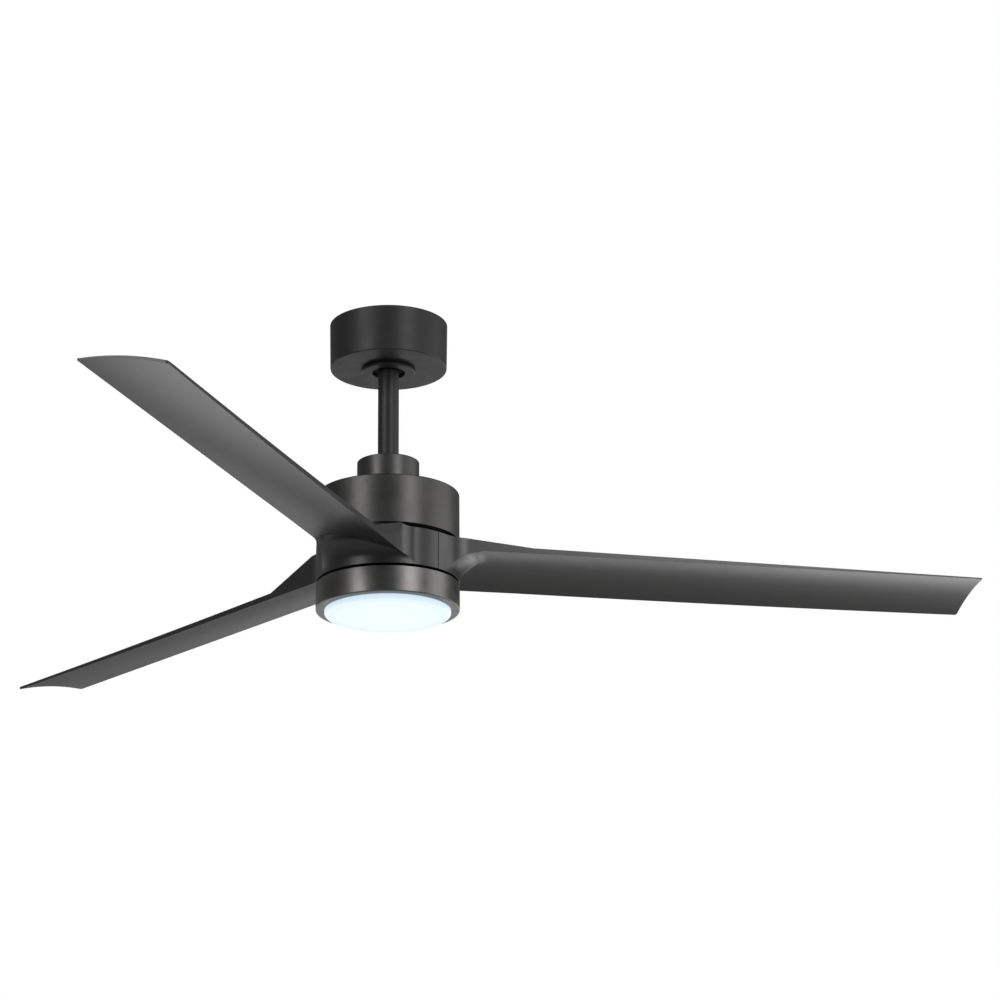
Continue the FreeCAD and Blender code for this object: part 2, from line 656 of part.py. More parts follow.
def light_plate():
    """Steel plate on the shaft's foot that carries the light."""
    top = "light_top + light_wall"
    foot = f"{top} + light_plate_thick"
    made = turned("light_plate", [
        ("shaft_radius", top), ("light_plate_radius", top), ("light_plate_radius", foot),
        ("shaft_radius", foot)])
    drill(made, "light_top", "6", "light_screw_hole", "light_screw_reach", 3, 20)


def shaft_nut():
    """Hexagon nut that locks the light plate on the shaft."""
    under = "-light_top - light_wall - light_plate_thick - nut_thick"
    blank = primitive("Prism", "nut_blank", ("0", "0", under),
                      Circumradius="nut_reach", Height="nut_thick")
    blank.Polygon = 6
    thread = primitive("Cylinder", "nut_thread", ("0", "0", "-shaft_foot - 5"),
                       Radius="shaft_radius", Height="20")
    node(cut("shaft_nut", blank, thread), "shaft_nut")


def light_ring():
    """Brushed cup of the light kit with an inward lip that holds the lens."""
    made = turned("light_ring", [
        ("light_hole", "light_top"), ("shell_radius", "light_top"), ("shell_radius", "light_foot"),
        ("lip_radius", "light_foot"), ("lip_radius", "light_foot - light_wall"),
        ("shell_radius - light_wall", "light_foot - light_wall"),
        ("shell_radius - light_wall", "light_top + light_wall"),
        ("light_hole", "light_top + light_wall")])
    round_edges(made, [("shell_radius", "light_top")], "shell_edge / 2")
    round_edges(made, [("shell_radius", "light_foot")], "shell_edge")
    drill(made, "light_top - 1", "6", "light_screw_hole", "light_screw_reach", 3, 20)


def led_driver():
    """Power supply of the light, on the underside of the light plate."""
    foot = "-light_top - light_wall - light_plate_thick - driver_thick"
    node(primitive("Box", "led_driver", ("-driver_length / 2", "driver_start", foot),
                   Length="driver_length", Width="driver_width", Height="driver_thick"),
         "led_driver")


def led_parts():
    """Aluminium tray across the light ring, the LED board under it and the LEDs."""
    board = "tray_top + tray_gauge"
    under = f"{board} + board_gauge"
    turned("led_tray", [
        ("tray_hole", "tray_top"), ("shell_radius - light_wall", "tray_top"),
        ("shell_radius - light_wall", board), ("tray_hole", board)])
    turned("led_board", [("board_hole", board), ("board_radius", board), ("board_radius", under),
                         ("board_hole", under)])
    length = size("chip_length")
    width = size("chip_width")
    thick = size("chip_thick")
    foot = -size("tray_top") - size("tray_gauge") - size("board_gauge") - thick
    chips = []
    for reach, count in LED_RINGS:
        chip = Part.makeBox(length, width, thick, Vector(reach - length / 2, -width / 2, foot))
        chips += [chip.rotated(Vector(), Vector(0, 0, 1), 360.0 * number / count)
                  for number in range(count)]
    feature("led_chips", Part.Compound(chips))


def lens():
    """Opal lens: a flange above the ring's lip, a rounded rim below it and a shallow bulge."""
    face = "(lens_radius - lens_corner)"
    inner = "(lens_radius - lens_wall)"
    seat = "light_foot - light_wall"
    turned("lens", [
        (0, "lens_rim_foot + lens_rise"), (face, "lens_rim_foot"),
        ("lens_radius", "lens_rim_foot - lens_corner"), ("lens_radius", seat),
        ("lens_flange_radius", seat), ("lens_flange_radius", f"{seat} - lens_wall"),
        (inner, f"{seat} - lens_wall"), (inner, "lens_rim_foot - lens_wall"),
        (0, "lens_rim_foot + lens_rise - lens_wall")],
        {0: (f"({face} ^ 2 + lens_rise ^ 2) / (2 * lens_rise)", -1),
         1: ("lens_corner", -1),
         7: (f"({inner} ^ 2 + lens_rise ^ 2) / (2 * lens_rise)", 1)})


# ---------------------------------------------------------------- rotor

def rotor_cases():
    """Two cast covers that carry the magnets and turn on the shaft's bearings."""
    bearing_foot = "upper_bearing_top + bearing_width"
    upper = turned("rotor_upper_case", [
        ("case_bore", "upper_bearing_top - boss_lip"),
        ("boss_radius", "upper_bearing_top - boss_lip"), ("boss_radius", "upper_bearing_top"),
        ("case_radius", "upper_bearing_top"), ("case_radius", "case_foot - case_wall"),
        ("case_flange_radius", "case_foot - case_wall"), ("case_flange_radius", "case_foot"),
        ("case_radius - case_wall", "case_foot"),
        ("case_radius - case_wall", "upper_bearing_top + case_wall"),
        ("boss_radius", "upper_bearing_top + case_wall"), ("boss_radius", bearing_foot),
        ("bearing_radius", bearing_foot), ("bearing_radius", "upper_bearing_top"),
        ("case_bore", "upper_bearing_top")])
    drill(upper, "upper_bearing_top - 1", "case_wall + 2", "case_vent_radius", "case_vent_reach",
          6, 30)
    drill(upper, "case_foot - case_wall - 1", "case_wall + 3", "case_screw_hole",
          "case_screw_reach", 6, 30)
    bearing_foot = "lower_bearing_top + bearing_width"
    lower = turned("rotor_lower_case", [
        ("bearing_radius", "lower_bearing_top"), ("boss_radius", "lower_bearing_top"),
        ("boss_radius", "case_foot"), ("case_flange_radius", "case_foot"),
        ("case_flange_radius", "case_foot + case_wall"),
        ("boss_radius", "case_foot + case_wall"), ("boss_radius", f"{bearing_foot} + boss_lip"),
        ("case_bore", f"{bearing_foot} + boss_lip"), ("case_bore", bearing_foot),
        ("bearing_radius", bearing_foot)])
    drill(lower, "case_foot - 1", "case_wall + 2", "case_screw_hole", "case_screw_reach", 6, 30)
    drill(lower, "case_foot - 1", "case_wall + 2", "hub_screw_hole", "hub_screw_reach", 6)


def bearings():
    """Two shielded ball bearings; each turns with the rotor and runs on the shaft."""
    for name, top in (("upper_bearing", "upper_bearing_top"),
                      ("lower_bearing", "lower_bearing_top")):
        foot = f"{top} + bearing_width"
        turned(name, [
            ("bearing_bore", top), ("shield_inner", top),
            ("shield_inner", f"{top} + shield_recess"), ("shield_outer", f"{top} + shield_recess"),
            ("shield_outer", top), ("bearing_radius", top), ("bearing_radius", foot),
            ("shield_outer", foot), ("shield_outer", f"{foot} - shield_recess"),
            ("shield_inner", f"{foot} - shield_recess"), ("shield_inner", foot),
            ("bearing_bore", foot)])


def magnet_ring():
    """Magnets moulded into one ring inside the upper case."""
    top = "core_top - magnet_overhang"
    foot = "core_top + core_height + magnet_overhang"
    turned("magnet_ring", [
        ("magnet_bore", top), ("case_radius - case_wall", top),
        ("case_radius - case_wall", foot), ("magnet_bore", foot)])


def blade_hub():
    """Cast plate under the rotor that the three blade roots bolt to."""
    top = "case_foot + case_wall"
    step = f"{top} + plate_step"
    made = turned("blade_hub", [
        ("plate_bore", top), ("plate_step_radius", top), ("plate_step_radius", step),
        ("plate_radius", step), ("plate_radius", "web_top"), ("plate_bore", "web_top")])
    drill(made, "case_foot", "20", "hub_screw_hole", "hub_screw_reach", 6)
    drill(made, "case_foot", "20", "web_screw_radius", "web_screw_reach", 3 * BLADES,
          size("web_screw_start"))


def blade_plan():
    """Plan outline of one blade: straight edges that sweep into the hub ring."""
    ring = size("shell_radius")
    tip = size("blade_tip")
    corner = size("tip_corner")
    low = size("low_edge")
    high = -size("high_edge")

    def sweep_points(edge, sweep):
        """Where the sweep leaves the ring, its middle, and where it joins the edge."""
        side = math.copysign(1, edge)
        centre_y = abs(edge) + sweep
        centre_x = math.sqrt((ring + sweep) ** 2 - centre_y ** 2)
        centre = Vector(centre_x, side * centre_y, 0)
        on_ring = centre * (ring / (ring + sweep))
        on_edge = Vector(centre_x, edge, 0)
        towards = ((on_ring + on_edge) * 0.5 - centre).normalize()
        return on_ring, centre + towards * sweep, on_edge

    low_ring, low_middle, low_wall = sweep_points(low, size("low_sweep"))
    high_ring, high_middle, high_wall = sweep_points(high, size("high_sweep"))
    bow = corner * (1 - math.sqrt(0.5))
    outer_low = Vector(tip - bow, low - bow, 0)
    outer_high = Vector(tip - bow, high + bow, 0)
    inside = Vector(ring - size("ring_wall") - 10, 0, 0)
    edges = [
        Part.Arc(low_ring, low_middle, low_wall),
        Part.LineSegment(low_wall, Vector(tip - corner, low, 0)),
        Part.Arc(Vector(tip - corner, low, 0), outer_low, Vector(tip, low - corner, 0)),
        Part.LineSegment(Vector(tip, low - corner, 0), Vector(tip, high + corner, 0)),
        Part.Arc(Vector(tip, high + corner, 0), outer_high, Vector(tip - corner, high, 0)),
        Part.LineSegment(Vector(tip - corner, high, 0), high_wall),
        Part.Arc(high_wall, high_middle, high_ring),
        Part.LineSegment(high_ring, inside),
        Part.LineSegment(inside, low_ring),
    ]
    face = Part.Face(Part.Wire([edge.toShape() for edge in edges]))
    face.translate(Vector(0, 0, -size("ring_foot")))
    return face.extrude(Vector(0, 0, size("ring_foot") - size("ring_top")))


def section(x, high_top, high_foot, low_top, low_foot, rise):
    """Cambered cross-section at x, carried a little past both edges of the blade."""
    spare = 45.0
    low = size("low_edge")
    high = -size("high_edge")

    def curve(at_high, at_low):
        slope = (at_high - at_low) / (high - low)
        ends = [Vector(x, y, -(at_low + slope * (y - low))) for y in (high - spare, low + spare)]
        chord = (low - high) / 2
        reach = chord + spare
        crown = (ends[0] + ends[1]) * 0.5 + Vector(0, 0, rise)
        drop = rise * ((reach / chord) ** 2 - 1)
        ends = [end - Vector(0, 0, drop) for end in ends]
        return Part.Arc(ends[0], crown, ends[1]).toShape()

    top = curve(high_top, low_top)
    foot = curve(high_foot, low_foot)
    sides = [Part.LineSegment(top.Vertexes[end].Point, foot.Vertexes[end].Point).toShape()
             for end in (1, 0)]
    return Part.Wire(Part.__sortEdges__([top, sides[0], foot, sides[1]]))


def blade():
    """Moulded blade: a third of the hub ring, its bolting web, a gusseted root and the blade."""
    rise = size("camber")
    tip_rise = size("tip_camber")
    tip = size("blade_tip")
    kink = size("gusset_end")
    ring = size("shell_radius")
    top = size("ring_top")
    foot = size("ring_foot")
    inner = ring - size("ring_wall")
    root = [size(alias) for alias in ("high_root_top", "high_root_foot", "low_root_top",
                                      "low_root_foot")]
    end = [size(alias) for alias in ("high_tip_top", "high_tip_foot", "low_tip_top",
                                     "low_tip_foot")]
    middle = [(here + there) / 2 for here, there in zip(root, end)]
    middle[2] += size("edge_sag")
    middle[3] += size("edge_sag")
    over_tip = tip + 2
    outer = Part.makeLoft([section(kink, *root, rise),
                           section((kink + tip) / 2, *middle, (rise + tip_rise) / 2),
                           section(over_tip, *end, tip_rise)], True)
    hub_section = [top, root[1], top, root[3]]
    gusset = Part.makeLoft([section(ring - 2, *hub_section, 0.02 * rise),
                            section(kink, *root, rise)], True, True)
    sweep = size("skirt_sweep")
    skirt_wire = Part.Wire([
        Part.LineSegment(Vector(inner, 0, -top), Vector(inner, 0, -foot)).toShape(),
        Part.LineSegment(Vector(inner, 0, -foot), Vector(ring, 0, -foot)).toShape(),
        Part.Arc(Vector(ring, 0, -foot),
                 Vector(ring + sweep * (1 - math.sqrt(0.5)), 0, -foot + sweep * math.sqrt(0.5)),
                 Vector(ring + sweep, 0, -foot + sweep)).toShape(),
        Part.LineSegment(Vector(ring + sweep, 0, -foot + sweep),
                         Vector(ring + sweep, 0, -root[0] - 1)).toShape(),
        Part.LineSegment(Vector(ring + sweep, 0, -root[0] - 1), Vector(inner, 0, -top)).toShape()])
    skirt = Part.Face(skirt_wire).revolve(Vector(), Vector(0, 0, 1), 120)
    skirt.rotate(Vector(), Vector(0, 0, 1), -60)
    plan = blade_plan()
    core = Part.makeCylinder(inner, 60, Vector(0, 0, -foot - 5))
    arm = [plan.common(solid).cut(core) for solid in (outer, gusset, skirt)]

    gap = math.degrees(size("seam_gap") / ring)
    wall_wire = Part.makePolygon([
        Vector(inner, 0, -top), Vector(ring, 0, -top), Vector(ring, 0, -foot),
        Vector(inner, 0, -foot), Vector(inner, 0, -size("web_top") - size("web_thick")),
        Vector(size("web_bore"), 0, -size("web_top") - size("web_thick")),
        Vector(size("web_bore"), 0, -size("web_top")), Vector(inner, 0, -size("web_top")),
        Vector(inner, 0, -top)])
    third = 360.0 / BLADES
    wall = Part.Face(wall_wire).revolve(Vector(), Vector(0, 0, 1), third - gap)
    wall.rotate(Vector(), Vector(0, 0, 1), gap / 2 - size("seam_lead"))
    bolt = Part.makeCylinder(size("web_screw_radius"), 5 * size("web_thick"),
                             Vector(size("web_screw_reach"), 0,
                                    -size("web_top") - 3 * size("web_thick")))
    bolts = [bolt.rotated(Vector(), Vector(0, 0, 1), size("web_screw_start") + third / 3 * step)
             for step in (-1, 0, 1)]
    whole = wall.fuse(arm).removeSplitter().cut(bolts)
    if len(whole.Solids) != 1:
        raise RuntimeError("the blade is not one solid")
    return whole.Solids[0]


def blades():
    shape = blade()
    for number in range(BLADES):
        feature(f"blade_{number + 1}", shape, about_z(360.0 * number / BLADES))


# ---------------------------------------------------------------- assembly

mounting_bracket()
canopy()
canopy_trim()
screws("canopy_screws", 2, size("canopy_screw_reach"), 0, (3.8, 2.2, size("canopy_depth")),
       (size("foot_hole_radius"), 6))
receiver_module()
ball_liner()

hanger_ball()
rod_pins()
hairpin_clip()
downrod()
lead_wires()
yoke()
yoke_set_screws()
coupling_cover()
screws("housing_screws", 3, size("flange_screw_reach"), 90,
       (3.6, 2.4, size("yoke_flange_top")), (size("flange_hole_radius"), 10), upwards=False)
motor_housing()
motor_shaft()
stator_hub()
stator_core()
stator_windings()
light_plate()
shaft_nut()
light_ring()
light_plate_foot = size("light_top") + size("light_wall") + size("light_plate_thick")
screws("light_screws", 3, size("light_screw_reach"), 20, (3.4, 2.2, light_plate_foot),
       (size("light_screw_hole"), 4))
led_driver()
led_parts()
lens()

rotor_cases()
bearings()
magnet_ring()
case_underside = size("case_foot") + size("case_wall")
screws("case_screws", 6, size("case_screw_reach"), 30, (2.3, 1.8, case_underside),
       (size("case_screw_hole"), 6))
blade_hub()
screws("hub_screws", 6, size("hub_screw_reach"), 0, (3.4, 2.2, size("web_top")),
       (size("hub_screw_hole"), 14))
blades()
web_underside = size("web_top") + size("web_thick")
screws("blade_screws", 3 * BLADES, size("web_screw_reach"), size("web_screw_start"),
       (4.8, 3, web_underside), (size("web_screw_radius"), 11.5))

doc.recompute()
for obj in doc.Objects:
    if {"Invalid", "Error"} & set(obj.State):
        raise RuntimeError(f"{obj.Label} failed: {obj.State}")
for part in nodes:
    if part.Shape.isNull() or not part.Shape.isValid():
        raise RuntimeError(f"{part.Label} has no valid shape")
    if part.Shape.Volume <= 0 or not part.Shape.Solids:
        raise RuntimeError(f"{part.Label} has no solid")
    part.Shape.exportStep(f"parts/{part.Label}.step")
    print(f"{part.Label}: {len(part.Shape.Solids)} solids, {part.Shape.Volume / 1000:.1f} cm3")
print(f"{len(nodes)} sub-parts")
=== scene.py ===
import json
import math

import bmesh
import bpy
from mathutils import Matrix, Vector


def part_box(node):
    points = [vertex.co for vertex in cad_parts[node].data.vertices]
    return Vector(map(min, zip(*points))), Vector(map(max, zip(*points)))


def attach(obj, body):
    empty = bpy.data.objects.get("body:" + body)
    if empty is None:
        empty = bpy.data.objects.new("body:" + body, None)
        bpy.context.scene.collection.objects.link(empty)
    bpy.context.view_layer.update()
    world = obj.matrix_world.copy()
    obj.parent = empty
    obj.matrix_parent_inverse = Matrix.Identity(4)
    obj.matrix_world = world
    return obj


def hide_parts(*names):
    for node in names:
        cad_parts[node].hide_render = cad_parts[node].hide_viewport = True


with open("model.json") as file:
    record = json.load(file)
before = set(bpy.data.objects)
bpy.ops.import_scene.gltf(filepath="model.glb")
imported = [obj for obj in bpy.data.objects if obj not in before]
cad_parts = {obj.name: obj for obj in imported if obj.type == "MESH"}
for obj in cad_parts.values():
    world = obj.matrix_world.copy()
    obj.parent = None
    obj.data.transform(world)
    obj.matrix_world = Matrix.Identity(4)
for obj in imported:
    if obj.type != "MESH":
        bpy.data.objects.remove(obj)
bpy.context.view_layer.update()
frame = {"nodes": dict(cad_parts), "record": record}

MM = 0.001
ROUND_SEGMENTS = 256
ROD_SEGMENTS = 96
ON_AXIS = 1e-7

# Sizes of the visible surfaces that a node's box doesn't give, in metres.
CANOPY_TAPER = 0.9 * MM
SHELL_WALL = 1.5 * MM
EDGE_ROUND = 0.4 * MM
LIP_RADIUS = 79.2 * MM
LENS_RADIUS = 78.7 * MM
LENS_CORNER = 4 * MM
LENS_RISE = 2 * MM
LENS_WALL = 2 * MM
# How far below the lip the painted lip shadow on the lens reaches.
LENS_SHADE_DEPTH = 1.2 * MM

# One blade, in the frame of blade 1: +X along it, the high edge at -Y and the low edge at +Y.
HIGH_EDGE = -54 * MM
LOW_EDGE = 50.5 * MM
GUSSET_END = 175 * MM
TIP_CORNER = 3 * MM
CAMBER = 6.5 * MM
TIP_CAMBER = 4.5 * MM
RING_WALL = 5.6 * MM
HIGH_SWEEP = 50 * MM
LOW_SWEEP = 34 * MM
SKIRT_SWEEP = 30 * MM
SEAM_LEAD = math.radians(-55.5)
SEAM_GAP = 0.9 * MM
BLADE_BEVEL = 0.45 * MM
# Heights of the high and low edges at the gusset's end and at the tip.
TOP_ROOT = (-304.8 * MM, -325.4 * MM)
TOP_TIP = (-313.0 * MM, -329.0 * MM)
FOOT_ROOT = (-311.4 * MM, -333.0 * MM)
FOOT_TIP = (-314.5 * MM, -332.5 * MM)
LOW_EDGE_SAG = 1.2 * MM
# The bolting plate inside the ring.
WEB_DROP = 7.9 * MM
WEB_THICKNESS = 6 * MM
WEB_BORE = 46 * MM
WEB_CLEARANCE = 0.02 * MM

bpy.context.scene.view_settings.view_transform = "Standard"


# ---------------------------------------------------------------- mesh helpers

def link(name, data):
    piece = bpy.data.objects.new(name, data)
    bpy.context.scene.collection.objects.link(piece)
    return piece


def soften(piece, bevel=None):
    """Small rounded edges, and normals that follow the larger faces."""
    for face in piece.data.polygons:
        face.use_smooth = True
    if bevel:
        rounded = piece.modifiers.new("edges", "BEVEL")
        rounded.width = bevel
        rounded.segments = 3
        rounded.limit_method = "ANGLE"
        rounded.angle_limit = math.radians(40)
    weighted = piece.modifiers.new("normals", "WEIGHTED_NORMAL")
    weighted.keep_sharp = True


def rounded_path(corners, steps=6):
    """A closed (radius, height) outline; a corner's third value is the radius it is rounded to."""
    path = []
    count = len(corners)
    for number, corner in enumerate(corners):
        here = Vector(corner[:2])
        radius = corner[2] if len(corner) > 2 else 0.0
        if not radius:
            path.append(here)
            continue
        before = (Vector(corners[number - 1][:2]) - here).normalized()
        after = (Vector(corners[(number + 1) % count][:2]) - here).normalized()
        half = before.angle(after) / 2
        reach = radius / math.tan(half)
        centre = here + (before + after).normalized() * (radius / math.sin(half))
        start = here + before * reach - centre
        turn = start.angle_signed(here + after * reach - centre)
        for step in range(steps + 1):
            path.append(centre + Matrix.Rotation(-turn * step / steps, 2) @ start)
    return path


def arc_path(start, end, rise, steps):
    """Points of a shallow arc from start to end that bulges by rise, both ends left out."""
    points = []
    chord = Vector(end) - Vector(start)
    across = Vector((-chord.y, chord.x)).normalized()
    for step in range(1, steps):
        t = step / steps
        points.append(Vector(start) + chord * t + across * (4 * rise * t * (1 - t)))
    return points


def lathe(name, path, segments=ROUND_SEGMENTS):
    """A turned solid from a closed (radius, height) path round the Z axis."""
    shape = bmesh.new()
    rings = []
    angles = [2 * math.pi * step / segments for step in range(segments)]
    for radius, height in path:
        if radius < ON_AXIS:
            rings.append([shape.verts.new((0, 0, height))])
            continue
        rings.append([shape.verts.new((radius * math.cos(angle), radius * math.sin(angle), height))
                      for angle in angles])
    for lower, upper in zip(rings, rings[1:] + rings[:1]):
        for step in range(segments):
            after = (step + 1) % segments
            if len(lower) == 1 and len(upper) == 1:
                continue
            if len(lower) == 1:
                shape.faces.new((lower[0], upper[after], upper[step]))
            elif len(upper) == 1:
                shape.faces.new((lower[step], lower[after], upper[0]))
            else:
                shape.faces.new((lower[step], lower[after], upper[after], upper[step]))
    bmesh.ops.recalc_face_normals(shape, faces=shape.faces)
    mesh = bpy.data.meshes.new(name)
    shape.to_mesh(mesh)
    shape.free()
    piece = link(name, mesh)
    soften(piece)
    return piece


def place(piece, body, slot, material, *nodes):
    """Give a piece its material and body, and hide the CAD nodes it stands in for. The slot argument
    is not used.
    """
    piece.data.materials.append(material)
    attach(piece, body)
    if nodes:
        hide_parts(*nodes)


# ---------------------------------------------------------------- materials

MOTTLE_SCALE = 45
SPECK_SHARE = 0.35
SPECK_SHADE = 0.78
# Most values of a noise texture lie in this range.
NOISE_RANGE = (0.3, 0.7)
# The colour sockets of a Mix node.
MIX_FIRST, MIX_SECOND, MIX_RESULT = 6, 7, 2


class Nodes:
    """A material's node tree, with short calls to add and join its nodes."""

    def __init__(self, name):
        self.material = bpy.data.materials.new(name)
        self.material.use_nodes = True
        self.tree = self.material.node_tree
        self.shader = self.tree.nodes["Principled BSDF"]
        coordinates = self.tree.nodes.new("ShaderNodeTexCoord")
        self.place = coordinates.outputs["Object"]

    def add(self, kind, **settings):
        made = self.tree.nodes.new(f"ShaderNode{kind}")
        for setting, value in settings.items():
            setattr(made, setting, value)
        return made

    def join(self, source, target):
        self.tree.links.new(source, target)

    def noise(self, scale, detail, stretch=(1, 1, 1)):
        """Noise in the object's own metres; a small stretch value draws it out that way."""
        mapping = self.add("Mapping")
        mapping.inputs["Scale"].default_value = stretch
        self.join(self.place, mapping.inputs["Vector"])
        noise = self.add("TexNoise")
        noise.inputs["Scale"].default_value = scale
        noise.inputs["Detail"].default_value = detail
        self.join(mapping.outputs["Vector"], noise.inputs["Vector"])
        return noise.outputs["Fac"]

    def ramp(self, factor, *stops):
        """A colour ramp through (position, colour) stops."""
        ramp = self.add("ValToRGB")
        elements = ramp.color_ramp.elements
        while len(elements) < len(stops):
            elements.new(0.5)
        for element, (position, colour) in zip(elements, stops):
            element.position = position
            element.color = (*colour, 1)
        self.join(factor, ramp.inputs["Fac"])
        return ramp.outputs["Color"]

    def rescale(self, value, start, end, low=0.0, high=1.0):
        """The range start..end carried over to low..high."""
        scaled = self.add("MapRange")
        limits = {"From Min": start, "From Max": end, "To Min": low, "To Max": high}
        for socket, limit in limits.items():
            scaled.inputs[socket].default_value = limit
        self.join(value, scaled.inputs["Value"])
        return scaled.outputs["Result"]

    def spread(self, noise, low, high):
        """A noise's usual range carried over to low..high."""
        return self.rescale(noise, *NOISE_RANGE, low, high)

    def multiply(self, colour, shade, share=1.0):
        product = self.add("Mix", data_type="RGBA", blend_type="MULTIPLY")
        product.inputs["Factor"].default_value = share
        self.join(colour, product.inputs[MIX_FIRST])
        self.join(shade, product.inputs[MIX_SECOND])
        return product.outputs[MIX_RESULT]

    def bump(self, height, distance, strength=1.0):
        bump = self.add("Bump")
        bump.inputs["Strength"].default_value = strength
        bump.inputs["Distance"].default_value = distance
        self.join(height, bump.inputs["Height"])
        return bump.outputs["Normal"]

    def set(self, **values):
        for socket, value in values.items():
            self.shader.inputs[socket.replace("_", " ")].default_value = value


def tinted(colour, amount):
    return tuple(max(0.0, min(1.0, channel * amount)) for channel in colour)


def coat(name, colour, roughness, metallic=0.0, mottle=0.08, grain=2600, depth=0.02 * MM,
         stretch=(1, 1, 1), specular=0.5, unevenness=0.04):
    """A coated or moulded surface: soft mottling, uneven gloss and a fine grain in relief."""
    nodes = Nodes(name)
    nodes.set(Metallic=metallic, Specular_IOR_Level=specular)
    broad = nodes.noise(MOTTLE_SCALE, 5)
    fine = nodes.noise(grain, 3, stretch)
    cloud = nodes.ramp(broad, (0.32, tinted(colour, 1 - mottle)), (0.68, tinted(colour, 1 + mottle)))
    speck = nodes.ramp(fine, (0.35, (SPECK_SHADE,) * 3), (0.65, (1, 1, 1)))
    nodes.join(nodes.multiply(cloud, speck, SPECK_SHARE), nodes.shader.inputs["Base Color"])
    nodes.join(nodes.spread(broad, roughness - unevenness, roughness + unevenness),
               nodes.shader.inputs["Roughness"])
    nodes.join(nodes.bump(fine, depth), nodes.shader.inputs["Normal"])
    return nodes.material


def lens_material(lip_height):
    """Opal lens lit from inside: near white, bluer and dimmer towards its rim, with a painted shadow
    just under the lip.
    """
    nodes = Nodes("opal_lens")
    split = nodes.add("SeparateXYZ")
    nodes.join(nodes.place, split.inputs["Vector"])
    flat = nodes.add("CombineXYZ")
    nodes.join(split.outputs["X"], flat.inputs["X"])
    nodes.join(split.outputs["Y"], flat.inputs["Y"])
    reach = nodes.add("VectorMath", operation="LENGTH")
    nodes.join(flat.outputs["Vector"], reach.inputs[0])
    out = nodes.rescale(reach.outputs["Value"], 0, LENS_RADIUS)
    glow = nodes.ramp(out, (0.0, (0.86, 0.955, 0.975)), (0.80, (0.83, 0.94, 0.975)),
                      (0.915, (0.76, 0.90, 0.97)), (0.945, (0.86, 0.95, 0.99)),
                      (0.985, (0.78, 0.90, 0.97)), (1.0, (0.70, 0.84, 0.93)))
    # Painted shadow: the glow darkens over the last stretch below the lip, where the lip shades the
    # lens.
    climb = nodes.rescale(split.outputs["Z"], lip_height - LENS_SHADE_DEPTH, lip_height)
    shade = nodes.ramp(climb, (0.0, (1, 1, 1)), (0.75, (0.80, 0.86, 0.91)),
                       (1.0, (0.24, 0.30, 0.38)))
    nodes.join(nodes.multiply(glow, shade), nodes.shader.inputs["Emission Color"])
    nodes.set(Base_Color=(0.10, 0.11, 0.12, 1), Emission_Strength=0.90, Specular_IOR_Level=0.2)
    haze = nodes.noise(900, 3)
    nodes.join(nodes.spread(haze, 0.28, 0.38), nodes.shader.inputs["Roughness"])
    nodes.join(nodes.bump(haze, 0.01 * MM, 0.4), nodes.shader.inputs["Normal"])
    return nodes.material


paint = coat("charcoal_paint", (0.014, 0.0138, 0.0135), 0.47, specular=0.42)
satin = coat("charcoal_satin", (0.078, 0.0768, 0.0745), 0.40, metallic=0.85, grain=1500,
             stretch=(0.05, 0.05, 3.0), depth=0.012 * MM)
ring_satin = coat("light_ring_satin", (0.150, 0.148, 0.144), 0.36, metallic=0.95, grain=1500,
                  stretch=(0.04, 0.04, 3.0), depth=0.016 * MM)
moulded = coat("blade_plastic", (0.017, 0.0168, 0.0162), 0.34, grain=3200, depth=0.010 * MM,
               specular=0.60, unevenness=0.01)
lens_lit = lens_material(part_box("light_ring")[0].z)

# Colour, roughness and metallic share. The castings are coloured near black as painted shade, so the
# gaps around the housing and the rings read dark.
INNER_FINISHES = {
    "zinc_steel": ((0.55, 0.55, 0.53), 0.38, 1.0),
    "screw_black": ((0.014, 0.014, 0.014), 0.50, 0.0),
    "nylon_natural": ((0.72, 0.70, 0.63), 0.50, 0.0),
    "black_plastic": ((0.018, 0.018, 0.019), 0.45, 0.0),
    # Painted shade: near black so the castings seen through the gaps read as shadow.
    "cast_alloy": ((0.014, 0.014, 0.015), 0.62, 0.0),
    "shaft_steel": ((0.45, 0.45, 0.46), 0.30, 1.0),
    "lamination_steel": ((0.22, 0.22, 0.23), 0.42, 1.0),
    "winding_copper": ((0.62, 0.26, 0.10), 0.36, 1.0),
    "magnet_grey": ((0.12, 0.12, 0.13), 0.50, 0.4),
    "bearing_steel": ((0.60, 0.60, 0.61), 0.22, 1.0),
    "board_white": ((0.82, 0.82, 0.79), 0.35, 0.0),
    "led_phosphor": ((0.90, 0.75, 0.25), 0.40, 0.0),
    "wire_jacket": ((0.05, 0.05, 0.05), 0.55, 0.0),
}


def dress_inner_nodes():
    """Give the CAD nodes that stay a material of their own slot."""
    finishes = {slot: coat(slot, colour, roughness, metallic)
                for slot, (colour, roughness, metallic) in INNER_FINISHES.items()}
    for part in frame["record"]["subparts"]:
        slot = part["material_slot"]
        if slot in finishes:
            node = frame["nodes"][part["node"]]
            node.data.materials.clear()
            node.data.materials.append(finishes[slot])


# ---------------------------------------------------------------- turned pieces

def canopy():
    low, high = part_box("canopy")
    foot = high.x - CANOPY_TAPER
    wall = 1.2 * MM
    hole = 22 * MM
    foot_round = 1.3 * MM
    path = rounded_path([
        (high.x - wall, high.z), (high.x, high.z, EDGE_ROUND), (foot, low.z, foot_round),
        (hole, low.z, EDGE_ROUND), (hole, low.z + wall), (foot - wall, low.z + wall)])
    place(lathe("canopy_shell", path), "ceiling_mount", "charcoal_paint", paint, "canopy")


